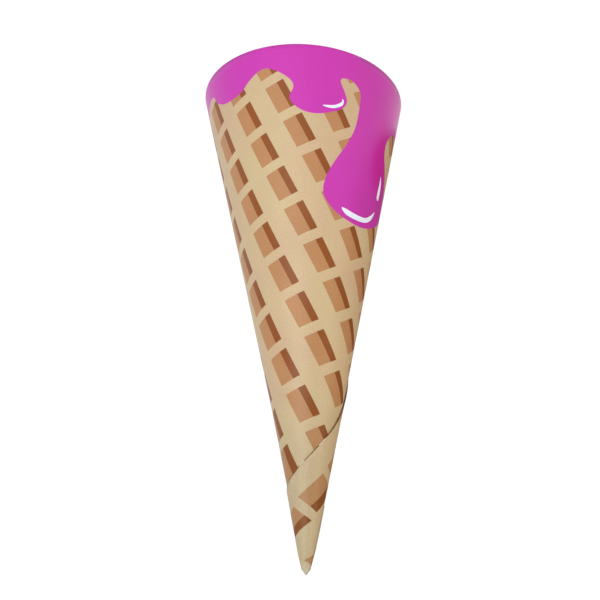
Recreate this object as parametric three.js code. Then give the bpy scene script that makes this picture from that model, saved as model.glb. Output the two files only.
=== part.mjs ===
// Cone sleeve: one sheet of coated paper, rolled into a pointed cone that holds an ice cream cone.
// Millimetres and degrees. It stands on its mouth, the point up, and the front of the roll faces -Y.
import * as THREE from "three";

// The cone that the inner face of the innermost turn lies on
const mouthInside = 59.2; // across the mouth, square to the axis
const fullAngle = 22;
const mouthLean = 3.3; // the mouth is cut this far from square, longer on the +X side

// The sheet and how tightly it is rolled
const paperThickness = 0.15;
const turnGap = 0.03; // air between two turns
const tipSlack = 0.3; // what is added to that air at the point, where paper can't be rolled so tight
const slackReach = 50; // along the slope from the point, where that slack ends
const tipBend = 0.75; // how far the soft point is bent over, towards +X
const bendReach = 60; // along the slope from the point, where that bend ends

// The flat sheet, as angles about the point, counted from the line that is the front of the first turn
const innerEdge = 64.5; // back to the straight edge that lies inside the roll
const cornerAngle = 118; // on to the square corner where the outer edge ends
const cornerReach = 20.8; // from the point to that corner
const nibReach = 1.4; // from the point to where the first turn is pinched off
const tipReach = 2.4; // the same for the outer turns

// The outer edge isn't glued all the way down
const edgeLift = 0.3; // how far it springs off the turn below
const edgeSpring = 7; // how wide a strip of the sheet bends to do so
const edgeGluedTo = 32; // slope distance up to which it is stuck flat
const edgeFreeFrom = 60; // slope distance from which it stands off in full

// How finely the roll is faceted
const columnsPerTurn = 72;
const ringSpacing = 23;

const paperColour = 0xd2b693;

const halfAngle = THREE.MathUtils.degToRad(fullAngle / 2);
const lean = THREE.MathUtils.degToRad(mouthLean);
const firstAngle = -THREE.MathUtils.degToRad(innerEdge);
const lastAngle = THREE.MathUtils.degToRad(cornerAngle);
const turnAngle = 2 * Math.PI * Math.sin(halfAngle); // of flat sheet in one turn of the roll
const mouthHeight = mouthInside / 2 / Math.tan(halfAngle); // from the point, along the axis

const smooth = (value, from, to) => THREE.MathUtils.smoothstep(value, from, to);

// How far the sheet's inner face stands off the cone at a place on the flat sheet.
function standOff(slope, angle) {
  const slack = tipSlack * Math.max(0, 1 - slope / slackReach);
  const turns = (angle - firstAngle) / turnAngle;
  const fromEdge = cornerReach - slope * Math.cos(angle - lastAngle);
  const bend = Math.max(0, 1 - fromEdge / edgeSpring);
  const lift = edgeLift * bend * bend * smooth(slope, edgeGluedTo, edgeFreeFrom);
  return turns * (paperThickness + turnGap + slack) + lift;
}

// A place on the flat sheet, rolled up: the point of the cone is at the origin and the mouth is below it.
function rolled(slope, angle, depth) {
  const off = standOff(slope, angle) + depth;
  const around = angle / Math.sin(halfAngle);
  const radius = slope * Math.sin(halfAngle) + off * Math.cos(halfAngle);
  const height = off * Math.sin(halfAngle) - slope * Math.cos(halfAngle);
  const bend = tipBend * Math.max(0, 1 - slope / bendReach) ** 2;
  return new THREE.Vector3(radius * Math.sin(around) + bend, -radius * Math.cos(around), height);
}

// Slope distance at which the leaning cut of the mouth crosses the sheet.
function mouthSlope(angle, depth) {
  const off = standOff(mouthHeight / Math.cos(halfAngle), angle) + depth;
  const side = Math.tan(lean) * Math.sin(angle / Math.sin(halfAngle));
  const reach = mouthHeight + off * (Math.sin(halfAngle) + side * Math.cos(halfAngle));
  return reach / (Math.cos(halfAngle) - side * Math.sin(halfAngle));
}

// Slope distance of the sheet's outer straight edge, which crosses the later turns.
function outerEdgeSlope(angle) {
  const away = Math.cos(angle - lastAngle);
  return away > 0 ? cornerReach / away : Infinity;
}

function tipSlope(angle) {
  return THREE.MathUtils.lerp(nibReach, tipReach, smooth(angle, firstAngle + turnAngle / 2, firstAngle + turnAngle));
}

// One column of the sheet, from the tip to the mouth or the outer edge, as pairs of inner and outer points.
function column(angle) {
  const tip = tipSlope(angle);
  const cut = Math.min(mouthSlope(angle, 0), outerEdgeSlope(angle));
  const slopes = [];
  for (let slope = ringSpacing / 2; slope < slackReach; slope += ringSpacing) slopes.push(slope);
  for (let slope = slackReach; slope < cut; slope += ringSpacing) slopes.push(slope);
  if (cut < mouthSlope(angle, 0)) {
    slopes.push(cut * (1 - edgeSpring / cornerReach), cut * (1 - edgeSpring / 2 / cornerReach));
  }
  const clear = (slope) => slope > tip + 1 && slope < cut - 1;
  const kept = slopes.filter(clear).sort((a, b) => a - b);
  const rows = kept.filter((slope, i) => i === 0 || slope - kept[i - 1] > 1);
  const points = [tip, ...rows].map((slope) => ({
    slope,
    inner: rolled(slope, angle, 0),
    outer: rolled(slope, angle, paperThickness),
  }));
  const outerCut = Math.min(mouthSlope(angle, paperThickness), outerEdgeSlope(angle));
  points.push({ slope: cut, inner: rolled(cut, angle, 0), outer: rolled(outerCut, angle, paperThickness) });
  return points;
}

function rolledSheet() {
  const positions = [];
  const triangle = (a, b, c) => positions.push(...a, ...b, ...c);
  const quad = (a, b, c, d) => {
    triangle(a, b, c);
    triangle(a, c, d);
  };

  const step = turnAngle / columnsPerTurn;
  const columns = [];
  for (let i = 0; firstAngle + i * step < lastAngle - step / 4; i++) columns.push(column(firstAngle + i * step));
  columns.push(column(lastAngle));

  // Both faces of the strip between two columns, row by row up the side that lags behind
  for (let i = 1; i < columns.length; i++) {
    const [a, b] = [columns[i - 1], columns[i]];
    let [m, n] = [0, 0];
    while (m < a.length - 1 || n < b.length - 1) {
      const alongA = n === b.length - 1 || (m < a.length - 1 && a[m + 1].slope <= b[n + 1].slope);
      const next = alongA ? a[m + 1] : b[n + 1];
      triangle(a[m].outer, next.outer, b[n].outer);
      triangle(a[m].inner, b[n].inner, next.inner);
      if (alongA) m++;
      else n++;
    }
    quad(a[0].inner, a[0].outer, b[0].outer, b[0].inner);
    quad(a.at(-1).outer, a.at(-1).inner, b.at(-1).inner, b.at(-1).outer);
  }

  // The two straight edges along the slope
  const edgeWall = (points, flip) => {
    for (let j = 1; j < points.length; j++) {
      const [low, high] = flip ? [points[j], points[j - 1]] : [points[j - 1], points[j]];
      quad(low.inner, high.inner, high.outer, low.outer);
    }
  };
  edgeWall(columns[0], false);
  edgeWall(columns.at(-1), true);

  const geometry = new THREE.BufferGeometry();
  geometry.setAttribute("position", new THREE.Float32BufferAttribute(positions, 3));
  geometry.computeVertexNormals();
  return geometry;
}

const sleeve = new THREE.Mesh(
  rolledSheet(),
  new THREE.MeshStandardMaterial({ color: paperColour, roughness: 0.45, metalness: 0 }),
);
sleeve.name = "cone_sleeve";
sleeve.rotation.y = -lean; // lays the cut of the mouth level

// Stands on the origin, which is the middle of the footprint
const box = new THREE.Box3().setFromObject(sleeve, true);
const middle = box.getCenter(new THREE.Vector3());
sleeve.position.set(-middle.x, -middle.y, -box.min.z);

const part = new THREE.Group();
part.add(sleeve);

export default part;
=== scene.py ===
import math
import bpy
import numpy as np
from mathutils import Matrix, Vector
from mathutils.geometry import delaunay_2d_cdt
from mathutils.kdtree import KDTree


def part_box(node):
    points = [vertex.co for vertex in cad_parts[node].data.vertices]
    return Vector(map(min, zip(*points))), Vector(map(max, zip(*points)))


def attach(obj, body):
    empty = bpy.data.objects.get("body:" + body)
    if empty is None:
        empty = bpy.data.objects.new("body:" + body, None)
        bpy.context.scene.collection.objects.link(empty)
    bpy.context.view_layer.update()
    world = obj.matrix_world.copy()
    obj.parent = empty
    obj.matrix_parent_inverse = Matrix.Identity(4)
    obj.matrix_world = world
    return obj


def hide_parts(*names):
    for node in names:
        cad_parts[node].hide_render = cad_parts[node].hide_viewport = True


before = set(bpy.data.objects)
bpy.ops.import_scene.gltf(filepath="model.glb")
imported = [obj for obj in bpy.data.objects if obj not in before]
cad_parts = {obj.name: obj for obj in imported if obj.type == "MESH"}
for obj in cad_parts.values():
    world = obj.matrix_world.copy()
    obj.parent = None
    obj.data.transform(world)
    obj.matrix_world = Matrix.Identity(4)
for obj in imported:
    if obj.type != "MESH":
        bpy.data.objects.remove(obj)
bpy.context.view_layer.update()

scene = bpy.context.scene
mm = 0.001

# Lengths are in millimetres and angles in degrees, until a mesh or a socket needs metres.
# A place on the flat sheet is (slope, angle): the distance from the cone's point, and the angle
# about it from the line that runs down the front of the first turn, positive towards +X.

roll = {
    "mouthInside": 59.2,
    "fullAngle": 22.0,
    "mouthLean": 3.3,  # the mouth is cut this far from square
    "paper": 0.15,
    "turnGap": 0.03,  # air between two turns
    "tipSlack": 0.3,  # more air between turns at the point
    "slackReach": 50.0,
    "tipBend": 0.75,  # the soft point is bent over
    "bendReach": 60.0,
    "innerEdge": 64.5,  # the sheet starts this far back, inside the roll
    "cornerAngle": 118.0,  # and ends at a square corner
    "cornerReach": 20.8,
    "tipReach": 0.25,  # every turn runs into the pinched nib
    "nib": 1.9,  # length of that nib
    "edgeLift": 0.3,  # the outer edge springs off the turn below
    "edgeSpring": 7.0,
    "edgeGluedTo": 32.0,
    "edgeFreeFrom": 60.0,
    "tipPinch": 0.34,  # share by which the turns are squeezed together above the nib
    "pinchReach": 9.0,
    "cornerPress": 14.0,  # degrees over which the last corner is pressed down
    "pressedSlack": 0.75,  # share of the slack that is left there
    "crumple": 0.2,  # creases of the pinched point
    "crumpleReach": 28.0,
    "crumpleLength": 12.0,
}

halfAngle = math.radians(roll["fullAngle"] / 2)
turnAngle = 360 * math.sin(halfAngle)  # degrees of flat sheet in one turn
mouthHeight = roll["mouthInside"] / 2 / math.tan(halfAngle)
firstAngle = -roll["innerEdge"]
lastAngle = roll["cornerAngle"]

mesh = {
    "columnStep": 0.5,  # degrees of flat sheet
    "doubleBelow": 60.0,  # slopes under which the columns are twice as wide, and twice again
    "fourfoldBelow": 10.0,
    "ringStep": 2.5,
    "fineRingStep": 1.0,  # near the point
    "fineRings": 24.0,
    "nibRings": 4,
    "lastRing": 160.0,
    "tipPoints": 60,
    "cornerStep": 1.5,
    "outerEdgeStep": 1.0,
    "innerEdgeStep": 2.5,
    "narrowest": 0.1,  # no column of the rim is narrower
    "printStep": 0.8,  # along the borders of the print
    "glintStep": 0.5,
    "clear": 0.45,  # grid points keep this far from a border's points
    "clearShare": 1 / 12,  # or this share of the slope, near the point
    "margin": 0.3,  # and this far inside the sheet
    "slip": 0.01,
    "same": 1e-5,  # drawn points nearer than this are one
    "weld": 1e-4,
}


def smooth(value, low, high):
    t = np.clip((np.asarray(value, float) - low) / (high - low), 0, 1)
    return t * t * (3 - 2 * t)


def flat(slope, angle):
    a = np.radians(angle)
    return np.stack([-slope * np.sin(a), slope * np.cos(a)], -1)


def slopeAngle(place):
    return np.hypot(place[..., 0], place[..., 1]), np.degrees(np.arctan2(-place[..., 0], place[..., 1]))


def along(points, step, closed=False):
    # Points at most a step apart on the straight lines through the given ones
    points = [np.asarray(p, float) for p in points]
    ends = points[1:] + points[:1] if closed else points[1:]
    line = []
    for a, b in zip(points, ends):
        count = max(1, math.ceil(np.linalg.norm(b - a) / step))
        line += [a + (b - a) * k / count for k in range(count)]
    return np.array(line if closed else line + [points[-1]])


def throughPoints(points, step, closed=False):
    # A smooth curve through given points
    p = np.asarray(points, float)
    if closed:
        p = np.vstack([p[-1:], p, p[:2]])
    else:
        p = np.vstack([2 * p[0] - p[1], p, 2 * p[-1] - p[-2]])
    curve = []
    for a, b, c, d in zip(p, p[1:], p[2:], p[3:]):
        count = max(2, math.ceil(np.linalg.norm(c - b) / step))
        t = np.arange(count)[:, None] / count
        second = (2 * a - 5 * b + 4 * c - d) * t ** 2
        third = (3 * b - 3 * c + d - a) * t ** 3
        curve.append(0.5 * (2 * b + (c - a) * t + second + third))
    return np.vstack(curve + ([] if closed else [p[-2:-1]]))


def inside(points, outline):
    # Even-odd test of many points against one closed outline
    x, y = points[:, 0], points[:, 1]
    odd = np.zeros(len(points), bool)
    for (ax, ay), (bx, by) in zip(outline, np.roll(outline, -1, 0)):
        if ay != by:
            odd ^= ((ay > y) != (by > y)) & (x < ax + (y - ay) * (bx - ax) / (by - ay))
    return odd


# The flat sheet: two straight edges, the curved mouth and the pinched tip

def mouthSlope(angle):
    angle = np.asarray(angle, float)
    reach = mouthHeight / math.cos(halfAngle)
    fromEdge = roll["cornerReach"] - reach * np.cos(np.radians(angle - lastAngle))
    bend = np.clip(1 - fromEdge / roll["edgeSpring"], 0, None)
    off = (angle - firstAngle) / turnAngle * (roll["paper"] + roll["turnGap"]) + roll["edgeLift"] * bend ** 2
    side = math.tan(math.radians(roll["mouthLean"])) * np.sin(np.radians(angle) / math.sin(halfAngle))
    reach = mouthHeight + off * (math.sin(halfAngle) + side * math.cos(halfAngle))
    return reach / (math.cos(halfAngle) - side * math.sin(halfAngle))


# Where the outer straight edge meets the mouth: a guess, made better twice
edgeAtMouth = 36.0
for _ in range(2):
    edgeAtMouth = lastAngle - math.degrees(math.acos(roll["cornerReach"] / mouthSlope(edgeAtMouth)))


def sheetOutline():
    tip = flat(roll["tipReach"], np.linspace(firstAngle, lastAngle, mesh["tipPoints"]))
    corner = flat(roll["cornerReach"], lastAngle)
    mouthEnd = flat(mouthSlope(edgeAtMouth), edgeAtMouth)
    rim = np.arange(firstAngle, edgeAtMouth - mesh["narrowest"], mesh["columnStep"])[::-1]
    rim = flat(mouthSlope(rim), rim)
    return np.vstack([
        along([tip[-1], corner], mesh["cornerStep"])[1:],
        along([corner, mouthEnd], mesh["outerEdgeStep"])[1:],
        rim,
        along([rim[-1], tip[0]], mesh["innerEdgeStep"])[1:],
        tip[1:],
    ])


def onSheet(place, margin=0.0):
    slope, angle = slopeAngle(place)
    away = slope * np.cos(np.radians(angle - lastAngle))
    return (
        (angle > firstAngle) & (angle < lastAngle) & (slope > roll["tipReach"] - mesh["slip"])
        & (away < roll["cornerReach"] - margin) & (slope < mouthSlope(angle) - margin)
    )


# The print: a waffle with a lit and a shaded half to each pocket, under icing that runs from the mouth

# Each face carries the number of its field
fields = ("cream", "pocketLit", "pocketShade", "icing", "glint", "inside", "edge")

waffle = {
    "first": (-6.93, 139.07),  # middle of one pocket
    "down": (5.33, -10.97),  # step to the next one down the roll
    "across": (-10.55, -5.12),  # and to the next one across it
    "downSteps": (-8, 26),
    "acrossSteps": (-16, 26),
    "wide": 5.99,
    "long": 9.18,
    "litShare": 0.65,
    "skew": -0.75,
    "creep": -0.23,  # the columns of the outer turn lie this share of a step off the even spacing
    "creepAngles": (25, 55),
    "tipCreep": (0.9, 1.6),  # and the last pockets are drawn up into the pinched point
    "tipCreepSlopes": (8, 30),
}

first, down, across = (np.array(waffle[k]) for k in ("first", "down", "across"))
longWay = down / np.linalg.norm(down)
skew = math.radians(waffle["skew"])
square = np.array([-longWay[1], longWay[0]])
wideWay = square * math.cos(skew) + np.array([-square[1], square[0]]) * math.sin(skew)

icing = {
    # Its lower border as (slope, angle), from the overlap's edge round the front to the hidden start
    "border": [
        (150.0, 41), (150.2, 38), (149.5, 35.5), (146.5, 33.2), (141, 31.6), (135, 30.2), (130.5, 28),
        (128.5, 25.2), (129.6, 22.2), (134, 20.2), (140, 19), (146, 17.8), (149.8, 16.4), (150.9, 14.5),
        (150.3, 13.2), (148, 12.8), (145.2, 11.6), (143.9, 9.9), (144.4, 8), (146.6, 6.7), (148.4, 5.5),
        (148.9, 4.4), (147.3, 3.1), (144.3, 1.7), (141.8, 1.3), (138.6, 1.8), (135.8, 1.2), (133.7, -0.2),
        (133.4, -2), (135.4, -4.3), (138.1, -5.2), (141.1, -4.9), (144, -4.3), (145.5, -4.4), (145.6, -5.7),
        (142.8, -6.9), (138, -7), (131.4, -6.7), (125.5, -5.7), (119.2, -4.1), (113, -2.8), (108.1, -2.8),
        (103.9, -4.8), (102.1, -8), (102.8, -11), (106.8, -14.6), (110.5, -16.5), (115.5, -17.1),
        (120.5, -16.3), (125.2, -14.6), (129.6, -13.3), (133.6, -13.2), (137.7, -14.2), (139.6, -15.4),
        (138.4, -17), (133, -18), (127, -19.2), (122.4, -21.4), (121, -24.4), (123, -27.2), (128.5, -29),
        (135, -29.8), (141, -31), (145, -33.2), (146, -36), (143, -38.4), (138.6, -40.2), (136.4, -43),
        (138, -46), (142.5, -48), (147, -49.8), (149, -52.5), (147.2, -55.4), (144.4, -58), (143.6, -61),
        (145, -64), (146, -68),
    ],
    "beyond": 190.0,  # its outline is closed past the mouth
    "beyondAngles": (-68, -40, -10, 20, 41),
    "dripShade": (127, -12.8),  # middle of the painted shade, a deeper magenta, on the longest drip
    "dripShadeReach": (8.0, 17.0),  # across and along the roll
    "dripShadeCore": 0.3,  # share of that reach at which it starts to fade
    "dripShadeShare": 0.9,
    "dripShadeColour": (216, 26, 172),
    "glints": [
        [(136.1, -2.2), (136.6, -3.6), (138, -4.5), (139.1, -4.6), (138.4, -4.8), (136.9, -4.6),
         (135.6, -3.6), (135.6, -2.7)],
        [(105.8, -5.8), (104.2, -6.4), (103.6, -7.8), (103.9, -9.8), (105.2, -11.5), (107.6, -12.7),
         (110.4, -13.3), (108.3, -12.3), (106.2, -11), (105.4, -9.6), (105.3, -7.9)],
        [(122.4, -13.35), (120, -13.3), (116.5, -13.15), (115, -13.2), (114.8, -13.8), (117, -14),
         (120, -13.9)],
        [(131.8, 28), (130, 26.6), (129.9, 24.8), (131.2, 23.4), (133.8, 22.2), (131.9, 24),
         (131.1, 25.4), (131.4, 26.8)],
        [(125, -26.6), (123, -25.6), (122.2, -24.2), (122.9, -22.6), (124.6, -21.4), (124, -22.9),
         (123.6, -24.2), (124, -25.4)],
    ],
}


def icingOutline():
    border = throughPoints(flat(*np.array(icing["border"], float).T), mesh["printStep"])
    beyond = flat(icing["beyond"], np.array(icing["beyondAngles"], float))
    return np.vstack([border, beyond])


def glintOutlines():
    return [
        throughPoints(flat(*np.array(glint, float).T), mesh["glintStep"], closed=True)
        for glint in icing["glints"]
    ]


def pocketCentres(border):
    # Every lattice place whose pocket touches the sheet and isn't all under the icing
    steps = (np.arange(*waffle["downSteps"]), np.arange(*waffle["acrossSteps"]))
    i, j = (n.reshape(-1, 1) for n in np.meshgrid(*steps, indexing="ij"))
    centres = first + i * down + j * across
    slope, angle = slopeAngle(centres)
    centres = centres + waffle["creep"] * smooth(angle, *waffle["creepAngles"])[:, None] * across
    centres = centres + (1 - smooth(slope, *waffle["tipCreepSlopes"]))[:, None] * waffle["tipCreep"]
    halves = np.array([(x, y) for x in (-0.5, 0, 0.5) for y in (-0.5, 0, 0.5)])
    spread = halves[:, :1] * waffle["wide"] * wideWay + halves[:, 1:] * waffle["long"] * longWay
    probes = centres[:, None] + spread
    shape = probes.shape[:2]
    touching = onSheet(probes.reshape(-1, 2)).reshape(shape).any(1)
    covered = inside(probes.reshape(-1, 2), border).reshape(shape).all(1)
    return centres[touching & ~covered]


def pocketLines(centre):
    half = waffle["wide"] / 2 * wideWay
    tall = waffle["long"] / 2 * longWay
    split = (2 * waffle["litShare"] - 1) * half
    corners = [centre - half - tall, centre + half - tall, centre + half + tall, centre - half + tall]
    around = along(corners, mesh["printStep"], closed=True)
    return around, along([centre + split - tall, centre + split + tall], mesh["printStep"])


def printAt(place, border, glints):
    # Which field of the print shows at each place
    colour = np.full(len(place), fields.index("cream"), np.int32)
    ways = np.linalg.inv(np.stack([wideWay * waffle["wide"], longWay * waffle["long"]], 1))
    for centre in pocketCentres(border):
        side, tall = ways @ (place - centre).T
        pocket = (np.abs(side) < 0.5) & (np.abs(tall) < 0.5)
        lit = side[pocket] + 0.5 < waffle["litShare"]
        colour[pocket] = np.where(lit, fields.index("pocketLit"), fields.index("pocketShade"))
    colour[inside(place, border)] = fields.index("icing")
    for outline in glints:
        colour[inside(place, outline)] = fields.index("glint")
    return colour


def ringSlopes():
    return np.r_[
        np.linspace(roll["tipReach"], roll["nib"], mesh["nibRings"] + 1)[1:],
        np.arange(roll["nib"] + mesh["fineRingStep"] / 2, mesh["fineRings"], mesh["fineRingStep"]),
        np.arange(mesh["fineRings"], mesh["lastRing"], mesh["ringStep"]),
    ]


def flatSheet():
    # One flat mesh whose faces follow every border of the print
    points, links = [], []

    def draw(line, closed):
        start = len(points)
        points.extend(line)
        links.extend((k, k + 1) for k in range(start, len(points) - 1))
        if closed:
            links.append((len(points) - 1, start))

    border, glints = icingOutline(), glintOutlines()
    draw(sheetOutline(), True)
    draw(border, True)
    for outline in glints:
        draw(outline, True)
    for centre in pocketCentres(border):
        around, split = pocketLines(centre)
        draw(around, True)
        draw(split, False)

    drawn = KDTree(len(points))
    for k, (x, y) in enumerate(points):
        drawn.insert((x, y, 0), k)
    drawn.balance()
    for slope in ringSlopes():
        step = mesh["columnStep"]
        step *= 1 if slope > mesh["doubleBelow"] else 2 if slope > mesh["fourfoldBelow"] else 4
        ring = flat(slope, np.arange(firstAngle + step / 2, lastAngle, step))
        clear = min(mesh["clear"], slope * mesh["clearShare"])
        for place in ring[onSheet(ring, mesh["margin"])]:
            if drawn.find((place[0], place[1], 0))[2] > clear:
                points.append(place)

    triangulated = delaunay_2d_cdt([Vector(p) for p in points], links, [], 0, mesh["same"], False)
    corners = np.array([(c.x, c.y) for c in triangulated[0]])
    faces = np.array(triangulated[2])
    middles = corners[faces].mean(1)
    kept = onSheet(middles)
    faces, middles = faces[kept], middles[kept]
    used, faces = np.unique(faces, return_inverse=True)
    corners, faces = corners[used], faces.reshape(-1, 3)

    data = bpy.data.meshes.new("flat_sheet")
    data.from_pydata([(x * mm, y * mm, 0.0) for x, y in corners], [], faces.tolist())
    colour = data.attributes.new("print", "INT", "FACE")
    colour.data.foreach_set("value", printAt(middles, border, glints))
    place = data.attributes.new("flatPlace", "FLOAT_VECTOR", "POINT")
    place.data.foreach_set("vector", (np.c_[corners, np.zeros(len(corners))] * mm).astype(np.float32).ravel())
    data.update()
    return bpy.data.objects.new("flat_sheet", data)


# Small tools for building node trees; any input is a value or the socket that feeds it

def wire(tree, kind, inputs=None, **settings):
    node = tree.nodes.new(kind)
    for name, value in settings.items():
        setattr(node, name, value)
    for key, value in (inputs or {}).items():
        socket = node.inputs[key]
        if isinstance(value, bpy.types.NodeSocket):
            tree.links.new(value, socket)
        else:
            socket.default_value = value
    return node


def maths(tree, operation, *values):
    return wire(tree, "ShaderNodeMath", dict(enumerate(values)), operation=operation).outputs[0]


def vectorMaths(tree, operation, *values):
    made = wire(tree, "ShaderNodeVectorMath", dict(enumerate(values)), operation=operation)
    return made.outputs["Value" if operation in ("LENGTH", "DISTANCE", "DOT_PRODUCT") else "Vector"]


def remap(tree, value, low, high, start=0.0, end=1.0, way="LINEAR"):
    return wire(tree, "ShaderNodeMapRange", {
        "Value": value, "From Min": low, "From Max": high, "To Min": start, "To Max": end,
    }, interpolation_type=way).outputs["Result"]


def blend(tree, share, under, over, way="MIX"):
    made = wire(tree, "ShaderNodeMix", {0: share, 6: under, 7: over}, data_type="RGBA", blend_type=way)
    return made.outputs[2]


def bump(tree, height, depth, normal=None):
    inputs = {"Height": height, "Distance": depth, "Strength": 1.0}
    if normal is not None:
        inputs["Normal"] = normal
    return wire(tree, "ShaderNodeBump", inputs).outputs["Normal"]


patterns = {
    # Scale, detail and roughness of each noise; the scale is per metre of sheet
    "drift": (90.0, 3.0, 0.55),
    "speckle": (1900.0, 2.0, 0.5),
    "warmth": (55.0, 2.0, 0.5),
    "grain": (4200.0, 3.0, 0.6),
    "cockle": (60.0, 1.0, 0.5),
    "folds": (520.0, 1.0, 0.5),
    "breaks": (230.0, 1.0, 0.5),
    "crumple": (1.7, 2.0, 0.5),  # on the unit circle and lengths of one crumple
}


def noise(tree, place, name, fourth=None):
    # A fourth coordinate gives another pattern at the same place
    scale, detail, roughness = patterns[name]
    made = wire(tree, "ShaderNodeTexNoise", {
        "Vector": place, "Scale": scale, "Detail": detail, "Roughness": roughness,
    })
    if fourth is not None:
        made.noise_dimensions = "4D"
        made.inputs["W"].default_value = fourth
    return made.outputs["Fac"]


# Finishes

finishes = {
    # Material, colour, how far its tone varies, roughness, how far its hue drifts
    "cream": ("waffle_cream", (221, 193, 152), 0.025, 0.4, 0.009),
    "pocketLit": ("pocket_lit", (199, 143, 96), 0.03, 0.4, 0.001),
    "pocketShade": ("pocket_shade", (152, 83, 30), 0.04, 0.4, 0.001),
    "icing": ("icing_ink", (216, 60, 191), 0.015, 0.3, 0.001),
    "glint": ("icing_glint", (238, 243, 255), 0.005, 0.4, 0.001),
    "inside": ("bare_paper", (236, 233, 226), 0.02, 0.75, 0.001),
    "edge": ("cut_edge", (240, 228, 212), 0.03, 0.8, 0.001),
}

paper = {
    "toneNoise": (0.3, 0.7),  # most of a noise's values lie between these
    "hueNoise": (0.35, 0.65),
    "hueSlice": 4.0,
    "speckle": 2.0,  # how much stronger the fine speckle is than the slow drift
    "dull": (-0.05, 0.07),  # how the roughness goes with the grain
    "gloss": 0.32,
    "grainDepth": 0.0045,
    "cockleDepth": 0.05,  # the paper's slow waves
    "foldDepth": 0.26,  # the folds that run up to the point
    "foldSlopes": (5, 42),
    "foldStretch": (1, 1, 0.1),
    "paintedGlow": 0.2,  # painted glow: the unprinted white glows a little
    "paintedGlowTint": (0.6, 0.8, 1, 1),
}

# Wear, with painted shade at the point and a painted shadow and highlights along the outer edge
wearAndPaintedLight = {
    "tipShadeTint": (0.87, 0.94, 0.96, 1),  # painted shade: tint that darkens the point
    "tipShadeSlopes": (18, 62),
    "frayed": (228, 216, 196),  # bare fibres of the nib
    "frayedShare": 0.8,
    "frayedSlopes": (1.0, 3.4),
    "seamShadow": (134, 90, 50),  # painted shadow along the overlapping edge
    "seamShadowWidth": 0.32,
    "seamShadowThinnest": 0.3,  # share of that width
    "seamShadowNoise": (0.32, 0.6),
    "seamShadowSlopes": (23, 26),
    "edgeHighlight": (246, 236, 214),  # painted highlights where the cut edge catches the light
    "edgeHighlightNoise": (0.38, 0.41),
}


def linear(colour):
    c = np.array(colour) / 255
    return tuple(np.where(c <= 0.04045, c / 12.92, ((c + 0.055) / 1.055) ** 2.4)) + (1.0,)


def overSlopes(tree, slope, between, start=0.0, end=1.0, way="LINEAR"):
    return remap(tree, slope, between[0] * mm, between[1] * mm, start, end, way)


def paintedSeamShadow(tree, place, slope):
    # How far, and in what colour, the free straight edge is darkened: a hairline of painted shadow with
    # painted highlights, which fades towards the point
    breaks = noise(tree, place, "breaks")
    widest = wearAndPaintedLight["seamShadowWidth"] * mm
    width = remap(tree, breaks, *wearAndPaintedLight["seamShadowNoise"], wearAndPaintedLight["seamShadowThinnest"] * widest, widest)
    towards = vectorMaths(tree, "DOT_PRODUCT", place, (*flat(1.0, lastAngle), 0))
    fromEdge = maths(tree, "SUBTRACT", roll["cornerReach"] * mm, towards)
    line = maths(tree, "LESS_THAN", fromEdge, width)
    share = maths(tree, "MULTIPLY", line, overSlopes(tree, slope, wearAndPaintedLight["seamShadowSlopes"]))
    shadowNotHighlight = remap(tree, breaks, *wearAndPaintedLight["edgeHighlightNoise"])
    return share, blend(tree, shadowNotHighlight, linear(wearAndPaintedLight["edgeHighlight"]), linear(wearAndPaintedLight["seamShadow"]))


def paintedDripShade(tree, place, colour):
    # Painted shade: the icing turns a deeper magenta on one side of its longest drip, where it shows no sheen
    slope, angle = icing["dripShade"]
    local = wire(tree, "ShaderNodeMapping", {
        "Vector": place,
        "Location": (*(flat(slope, angle) * mm), 0),
        "Rotation": (0, 0, math.radians(angle)),
        "Scale": (*(reach * mm for reach in icing["dripShadeReach"]), 1),
    }, vector_type="TEXTURE")
    away = vectorMaths(tree, "LENGTH", local.outputs["Vector"])
    share = remap(tree, away, icing["dripShadeCore"], 1.0, icing["dripShadeShare"], 0.0, "SMOOTHSTEP")
    return blend(tree, share, colour, linear(icing["dripShadeColour"]))


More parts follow.
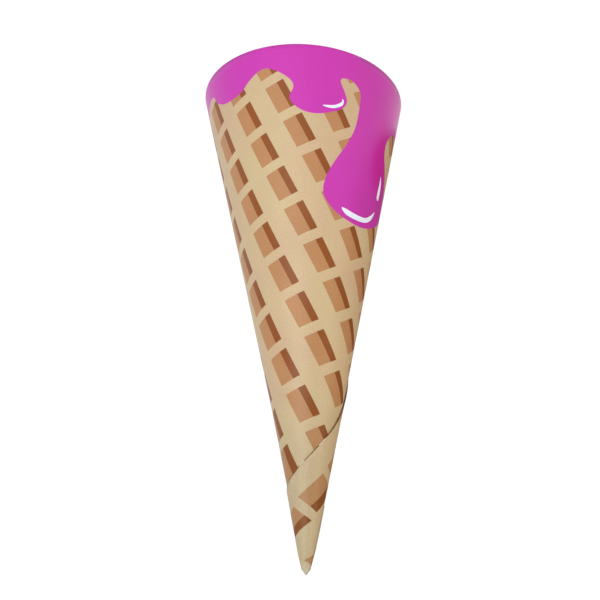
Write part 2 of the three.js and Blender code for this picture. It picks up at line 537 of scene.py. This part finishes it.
def coatedPaper(name, ink, mottle, roughness, hueDrift, withDripShade=False):
    made = bpy.data.materials.new(name)
    made.use_nodes = True
    tree = made.node_tree
    shader = tree.nodes["Principled BSDF"].inputs
    place = wire(tree, "ShaderNodeAttribute", attribute_name="flatPlace").outputs["Vector"]
    slope = vectorMaths(tree, "LENGTH", place)

    # Ink that lies a little unevenly: slow drifts of tone and hue, and a fine speckle
    toneNoise = paper["toneNoise"]
    fine = paper["speckle"] * mottle
    drift = remap(tree, noise(tree, place, "drift"), *toneNoise, 1 - mottle, 1 + mottle)
    speckle = remap(tree, noise(tree, place, "speckle"), *toneNoise, 1 - fine, 1 + fine)
    warmth = noise(tree, place, "warmth", paper["hueSlice"])
    # On the icing, the colour carries the painted shade of its longest drip
    tinted = wire(tree, "ShaderNodeHueSaturation", {
        "Hue": remap(tree, warmth, *paper["hueNoise"], 0.5 - hueDrift, 0.5 + hueDrift),
        "Value": maths(tree, "MULTIPLY", drift, speckle),
        "Color": paintedDripShade(tree, place, linear(ink)) if withDripShade else linear(ink),
    })

    # Painted shade darkens the point, bare fibres lie at its end, and a painted shadow with painted
    # highlights runs along the outer edge
    tipShade = overSlopes(tree, slope, wearAndPaintedLight["tipShadeSlopes"], 1.0, 0.0, "SMOOTHSTEP")
    colour = blend(tree, tipShade, tinted.outputs["Color"], wearAndPaintedLight["tipShadeTint"], "MULTIPLY")
    frayed = overSlopes(tree, slope, wearAndPaintedLight["frayedSlopes"], wearAndPaintedLight["frayedShare"], 0.0)
    colour = blend(tree, frayed, colour, linear(wearAndPaintedLight["frayed"]))
    seamShade, seamShadeColour = paintedSeamShadow(tree, place, slope)
    tree.links.new(blend(tree, seamShade, colour, seamShadeColour), shader["Base Color"])

    # The varnish is duller where the grain comes through
    grain = noise(tree, place, "grain")
    shiniest, dullest = (roughness + change for change in paper["dull"])
    tree.links.new(remap(tree, grain, *toneNoise, shiniest, dullest), shader["Roughness"])
    shader["Specular IOR Level"].default_value = paper["gloss"]

    # Folds that run up to the point, slow waves and the grain
    onObject = wire(tree, "ShaderNodeTexCoord").outputs["Object"]
    standing = vectorMaths(tree, "MULTIPLY", onObject, paper["foldStretch"])
    depth = overSlopes(tree, slope, paper["foldSlopes"], paper["foldDepth"] * mm, 0.0)
    normal = bump(tree, noise(tree, standing, "folds"), depth)
    normal = bump(tree, noise(tree, place, "cockle"), paper["cockleDepth"] * mm, normal)
    normal = bump(tree, grain, paper["grainDepth"] * mm, normal)
    tree.links.new(normal, shader["Normal"])
    return made


def paperFinishes():
    made = {name: coatedPaper(*finishes[name], withDripShade=name == "icing") for name in fields}
    # Painted glow on the white of the glints
    glowingWhite = made["glint"].node_tree.nodes["Principled BSDF"].inputs
    glowingWhite["Emission Color"].default_value = paper["paintedGlowTint"]
    glowingWhite["Emission Strength"].default_value = paper["paintedGlow"]
    return made


# Rolls the flat sheet up: gives it its thickness, winds it into the cone and sets its finishes

def rollTree(finished):
    tree = bpy.data.node_groups.new("roll up a sheet", "GeometryNodeTree")
    interface = tree.interface
    interface.new_socket("Geometry", in_out="INPUT", socket_type="NodeSocketGeometry")
    interface.new_socket("Geometry", in_out="OUTPUT", socket_type="NodeSocketGeometry")
    sizes = {
        "Half Angle": halfAngle,
        "First Angle": math.radians(firstAngle),
        "Corner Angle": math.radians(lastAngle),
        "Mouth Lean": math.radians(roll["mouthLean"]),
        "Paper": roll["paper"] * mm,
        "Turn Gap": roll["turnGap"] * mm,
        "Tip Slack": roll["tipSlack"] * mm,
        "Slack Reach": roll["slackReach"] * mm,
        "Tip Bend": roll["tipBend"] * mm,
        "Bend Reach": roll["bendReach"] * mm,
        "Corner Reach": roll["cornerReach"] * mm,
        "Edge Lift": roll["edgeLift"] * mm,
        "Edge Spring": roll["edgeSpring"] * mm,
        "Edge Glued To": roll["edgeGluedTo"] * mm,
        "Edge Free From": roll["edgeFreeFrom"] * mm,
        "Tip Pinch": roll["tipPinch"],
        "Pinch Reach": roll["pinchReach"] * mm,
        "Nib": roll["nib"] * mm,
        "Corner Press": math.radians(roll["cornerPress"]),
        "Pressed Slack": roll["pressedSlack"],
        "Crumple": roll["crumple"] * mm,
        "Crumple Reach": roll["crumpleReach"] * mm,
        "Crumple Length": roll["crumpleLength"] * mm,
    }
    for name in sizes:
        interface.new_socket(name, in_out="INPUT", socket_type="NodeSocketFloat")
    given = wire(tree, "NodeGroupInput").outputs

    def calc(operation, *values):
        return maths(tree, operation, *values)

    def left(gone, reach):
        # The share of a reach that is left, down to nothing
        return calc("MAXIMUM", calc("SUBTRACT", 1.0, calc("DIVIDE", gone, reach)), 0.0)

    # Thickness: the printed face is pushed off a copy that stays behind, turned over
    thick = wire(tree, "ShaderNodeCombineXYZ", {"Z": given["Paper"]}).outputs["Vector"]
    pushed = wire(tree, "GeometryNodeExtrudeMesh", {
        "Mesh": given["Geometry"], "Offset": thick, "Offset Scale": 1.0, "Individual": False,
    }, mode="FACES").outputs
    walled = wire(tree, "GeometryNodeStoreNamedAttribute", {
        "Geometry": pushed["Mesh"], "Selection": pushed["Side"],
        "Name": "print", "Value": fields.index("edge"),
    }, data_type="INT", domain="FACE")
    back = wire(tree, "GeometryNodeFlipFaces", {"Mesh": given["Geometry"]}).outputs["Mesh"]
    bare = wire(tree, "GeometryNodeStoreNamedAttribute", {
        "Geometry": back, "Name": "print", "Value": fields.index("inside"),
    }, data_type="INT", domain="FACE")
    solid = tree.nodes.new("GeometryNodeJoinGeometry")
    for side in (walled, bare):
        tree.links.new(side.outputs["Geometry"], solid.inputs["Geometry"])
    closed = wire(tree, "GeometryNodeMergeByDistance", {
        "Geometry": solid.outputs["Geometry"], "Distance": mesh["weld"] * mm,
    }).outputs["Geometry"]

    # Where each point stands on the flat sheet
    split = wire(tree, "ShaderNodeSeparateXYZ", {
        0: wire(tree, "GeometryNodeInputPosition").outputs["Position"],
    }).outputs
    squares = (calc("MULTIPLY", split[way], split[way]) for way in ("X", "Y"))
    slope = calc("SQRT", calc("ADD", *squares))
    angle = calc("ARCTAN2", calc("MULTIPLY", split["X"], -1.0), split["Y"])
    sine, cosine = calc("SINE", given["Half Angle"]), calc("COSINE", given["Half Angle"])

    # How far it stands off the cone
    fromFirst = calc("SUBTRACT", angle, given["First Angle"])
    turns = calc("DIVIDE", fromFirst, calc("MULTIPLY", sine, 2 * math.pi))
    pressFrom = calc("SUBTRACT", given["Corner Angle"], given["Corner Press"])
    pressed = remap(tree, angle, pressFrom, given["Corner Angle"], 1.0, given["Pressed Slack"], "SMOOTHSTEP")
    slack = calc("MULTIPLY", calc("MULTIPLY", given["Tip Slack"], left(slope, given["Slack Reach"])), pressed)
    pitch = calc("ADD", calc("ADD", given["Paper"], given["Turn Gap"]), slack)
    away = calc("MULTIPLY", slope, calc("COSINE", calc("SUBTRACT", angle, given["Corner Angle"])))
    fromEdge = calc("SUBTRACT", given["Corner Reach"], away)
    spring = calc("POWER", left(fromEdge, given["Edge Spring"]), 2.0)
    free = remap(tree, slope, given["Edge Glued To"], given["Edge Free From"], way="SMOOTHSTEP")
    lift = calc("MULTIPLY", calc("MULTIPLY", given["Edge Lift"], spring), free)
    pinched = calc("SUBTRACT", 1.0, given["Tip Pinch"])
    squeeze = remap(tree, slope, 0.0, given["Pinch Reach"], pinched, 1.0, "SMOOTHSTEP")
    squeeze = calc("MULTIPLY", squeeze, calc("MINIMUM", calc("DIVIDE", slope, given["Nib"]), 1.0))
    thickness = calc("MULTIPLY", calc("ADD", calc("MULTIPLY", turns, pitch), split["Z"]), squeeze)
    off = calc("ADD", thickness, lift)

    # Winds it round, with the creases of the point
    around = calc("DIVIDE", angle, sine)
    aroundSine, aroundCosine = calc("SINE", around), calc("COSINE", around)
    radius = calc("ADD", calc("MULTIPLY", slope, sine), calc("MULTIPLY", off, cosine))
    height = calc("SUBTRACT", calc("MULTIPLY", off, sine), calc("MULTIPLY", slope, cosine))
    wound = wire(tree, "ShaderNodeCombineXYZ", {
        "X": aroundSine,
        "Y": calc("MULTIPLY", aroundCosine, -1.0),
        "Z": calc("DIVIDE", slope, given["Crumple Length"]),
    }).outputs["Vector"]
    creases = calc("SUBTRACT", calc("MULTIPLY", noise(tree, wound, "crumple"), 2.0), 1.0)
    crumple = calc("MULTIPLY", given["Crumple"], left(slope, given["Crumple Reach"]))
    radius = calc("ADD", radius, calc("MULTIPLY", crumple, creases))

    # Bends the point over and lays the mouth level
    bend = calc("MULTIPLY", given["Tip Bend"], calc("POWER", left(slope, given["Bend Reach"]), 2.0))
    sideways = calc("ADD", calc("MULTIPLY", radius, aroundSine), bend)
    depth = calc("MULTIPLY", calc("MULTIPLY", radius, aroundCosine), -1.0)
    leanSine, leanCosine = calc("SINE", given["Mouth Lean"]), calc("COSINE", given["Mouth Lean"])
    place = wire(tree, "ShaderNodeCombineXYZ", {
        "X": calc("SUBTRACT", calc("MULTIPLY", sideways, leanCosine), calc("MULTIPLY", height, leanSine)),
        "Y": depth,
        "Z": calc("ADD", calc("MULTIPLY", sideways, leanSine), calc("MULTIPLY", height, leanCosine)),
    }).outputs["Vector"]
    rolled = wire(tree, "GeometryNodeSetPosition", {"Geometry": closed, "Position": place})

    # Both faces are smooth, the cut edges stay crisp
    printed = wire(tree, "GeometryNodeInputNamedAttribute", {"Name": "print"}, data_type="INT")

    def shows(name):
        match = wire(tree, "FunctionNodeCompare", data_type="INT", operation="EQUAL")
        tree.links.new(printed.outputs["Attribute"], match.inputs[2])
        match.inputs[3].default_value = fields.index(name)
        return match.outputs["Result"]

    notEdge = wire(tree, "FunctionNodeBooleanMath", {0: shows("edge")}, operation="NOT").outputs[0]
    shaded = wire(tree, "GeometryNodeSetShadeSmooth", {
        0: rolled.outputs["Geometry"], "Shade Smooth": notEdge,
    })
    result = wire(tree, "GeometryNodeRealizeInstances", {"Geometry": shaded.outputs[0]}).outputs["Geometry"]
    for name in fields:
        result = wire(tree, "GeometryNodeSetMaterial", {
            "Geometry": result, "Selection": shows(name), "Material": finished[name],
        }).outputs["Geometry"]
    wire(tree, "NodeGroupOutput", {"Geometry": result})
    return tree, sizes


def plainMesh(piece, name):
    # The evaluated result as an ordinary object, with no modifier left
    graph = bpy.context.evaluated_depsgraph_get()
    data = bpy.data.meshes.new_from_object(piece.evaluated_get(graph))
    data.name = name
    bpy.data.objects.remove(piece)
    made = bpy.data.objects.new(name, data)
    scene.collection.objects.link(made)
    return made


def rolledSleeve():
    sheet = flatSheet()
    print("flat sheet:", len(sheet.data.polygons), "faces")
    scene.collection.objects.link(sheet)
    tree, sizes = rollTree(paperFinishes())
    modifier = sheet.modifiers.new("roll up", "NODES")
    modifier.node_group = tree
    sockets = {item.name: item.identifier for item in tree.interface.items_tree if item.in_out == "INPUT"}
    for name, value in sizes.items():
        modifier[sockets[name]] = value
    sleeve = plainMesh(sheet, "printed_sleeve")

    # It stands where the frame has it: middle of the footprint, mouth down
    low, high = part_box("cone_sleeve")
    points = np.array([v.co for v in sleeve.data.vertices])
    ownLow, ownHigh = points.min(0), points.max(0)
    shift = Vector((
        (low.x + high.x) / 2 - (ownLow[0] + ownHigh[0]) / 2,
        (low.y + high.y) / 2 - (ownLow[1] + ownHigh[1]) / 2,
        low.z - ownLow[2],
    ))
    sleeve.data.transform(Matrix.Translation(shift))
    print("rolled sleeve:", len(sleeve.data.polygons), "faces, moved by", [round(v / mm, 3) for v in shift])
    return sleeve


sleeve = rolledSleeve()
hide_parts("cone_sleeve")
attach(sleeve, "root")

# Pale floor: seen by the camera it is white, and it keeps a soft shadow

floorLook = {
    # In metres
    "half": 2.0,
    "colour": (0.8, 0.8, 0.8, 1),
    "roughness": 0.9,
    "shadowShare": 0.15,
    "white": 1.13,
    # Round areas of floor that the varnish mirrors: middle, inner radius and outer radius
    "mirrored": [((0.6, 0.0), 0.605, 0.655), ((0.022, -0.161), 0.18, 0.188)],
    "unmirrored": 0.01,  # what the floor outside them gives
}


def paleFloor():
    half = floorLook["half"]
    corners = [(-half, -half, 0), (half, -half, 0), (half, half, 0), (-half, half, 0)]
    data = bpy.data.meshes.new("floor")
    data.from_pydata(corners, [], [(0, 1, 2, 3)])
    floor = bpy.data.objects.new("floor", data)
    scene.collection.objects.link(floor)
    made = bpy.data.materials.new("pale_floor")
    made.use_nodes = True
    tree = made.node_tree
    shader = tree.nodes["Principled BSDF"]
    shader.inputs["Base Color"].default_value = floorLook["colour"]
    shader.inputs["Roughness"].default_value = floorLook["roughness"]
    ray = wire(tree, "ShaderNodeLightPath").outputs
    seen = maths(tree, "MAXIMUM", ray["Is Camera Ray"], ray["Is Glossy Ray"])
    seen = maths(tree, "MAXIMUM", seen, ray["Is Transmission Ray"])
    share = maths(tree, "MULTIPLY", seen, 1 - floorLook["shadowShare"])
    place = wire(tree, "ShaderNodeNewGeometry").outputs["Position"]
    mirrored = floorLook["unmirrored"]
    for middle, inner, outer in floorLook["mirrored"]:
        reach = vectorMaths(tree, "DISTANCE", place, (*middle, 0))
        mirrored = maths(tree, "MAXIMUM", mirrored, remap(tree, reach, inner, outer, 1.0, 0.0, "SMOOTHSTEP"))
    level = wire(tree, "ShaderNodeMix", {0: ray["Is Glossy Ray"], 2: floorLook["white"], 3: mirrored})
    white = wire(tree, "ShaderNodeEmission", {"Color": (1, 1, 1, 1), "Strength": level.outputs[0]})
    mix = wire(tree, "ShaderNodeMixShader", {
        0: share, 1: shader.outputs["BSDF"], 2: white.outputs["Emission"],
    })
    tree.links.new(mix.outputs["Shader"], tree.nodes["Material Output"].inputs["Surface"])
    data.materials.append(made)


studio = {
    "bright": 0.7,  # how much light comes from the +X side
    "dim": 0.25,  # and from the other
    "seen": 1.0,  # and how bright the camera sees it
}


def softWorld():
    world = bpy.data.worlds.new("studio")
    scene.world = world
    world.use_nodes = True
    tree = world.node_tree
    background = tree.nodes["Background"]
    ray = wire(tree, "ShaderNodeLightPath").outputs
    seen = maths(tree, "MAXIMUM", ray["Is Camera Ray"], ray["Is Transmission Ray"])
    way = wire(tree, "ShaderNodeSeparateXYZ", {0: wire(tree, "ShaderNodeTexCoord").outputs["Generated"]})
    side = remap(tree, way.outputs["X"], -1.0, 1.0, studio["dim"], studio["bright"])
    background.inputs["Color"].default_value = (1, 1, 1, 1)
    tree.links.new(remap(tree, seen, 0.0, 1.0, side, studio["seen"]), background.inputs["Strength"])


lamps = {
    # Place, aim and width in millimetres, power in watts, colour
    "key": ((130, -340, 20), (0, 0, 20), 320, 0.87, (0.96, 0.99, 1)),
    "fill": ((-400, -300, 40), (0, 0, 20), 260, 0.49, (1, 0.9, 0.75)),
    "side": ((-340, 60, 220), (0, 0, 60), 200, 0.28, (1, 0.78, 0.54)),
}


def softLamp(name, place, aim, width, power, colour):
    data = bpy.data.lights.new(name, "AREA")
    data.shape = "DISK"
    data.size = width * mm
    data.energy = power
    data.color = colour
    lamp = bpy.data.objects.new(name, data)
    scene.collection.objects.link(lamp)
    lamp.location = Vector(place) * mm
    lamp.rotation_euler = (Vector(aim) - Vector(place)).to_track_quat("-Z", "Y").to_euler()


paleFloor()
softWorld()
for name, values in lamps.items():
    softLamp(name, *values)
print("floor, world and", len(lamps), "lamps placed")

# The photograph's view: from in front and above, with the camera upside down

view = {
    "aim": (-2.54, -0.09, 68.785),
    "distance": 510.86,
    "azimuth": 1.841,
    "elevation": 29.12,
    "roll": 176.655,
    "lens": 106.63,
    "sensor": 36.0,
    "nearest": 10.0,
}


def matchedCamera():
    azimuth, elevation, turn = (math.radians(view[k]) for k in ("azimuth", "elevation", "roll"))
    forwards = math.cos(elevation)
    ahead = Vector((math.sin(azimuth) * forwards, math.cos(azimuth) * forwards, -math.sin(elevation)))
    level = ahead.cross(Vector((0, 0, 1))).normalized()
    upright = level.cross(ahead)
    right = level * math.cos(turn) - upright * math.sin(turn)
    up = upright * math.cos(turn) + level * math.sin(turn)
    data = bpy.data.cameras.new("camera")
    data.lens = view["lens"]
    data.sensor_width = view["sensor"]
    data.clip_start = view["nearest"] * mm
    camera = bpy.data.objects.new("camera", data)
    scene.collection.objects.link(camera)
    place = Vector(view["aim"]) * mm - ahead * view["distance"] * mm
    camera.matrix_world = Matrix.Translation(place) @ Matrix((right, up, -ahead)).transposed().to_4x4()
    scene.camera = camera


matchedCamera()
scene.view_settings.view_transform = "Standard"
print("camera set")
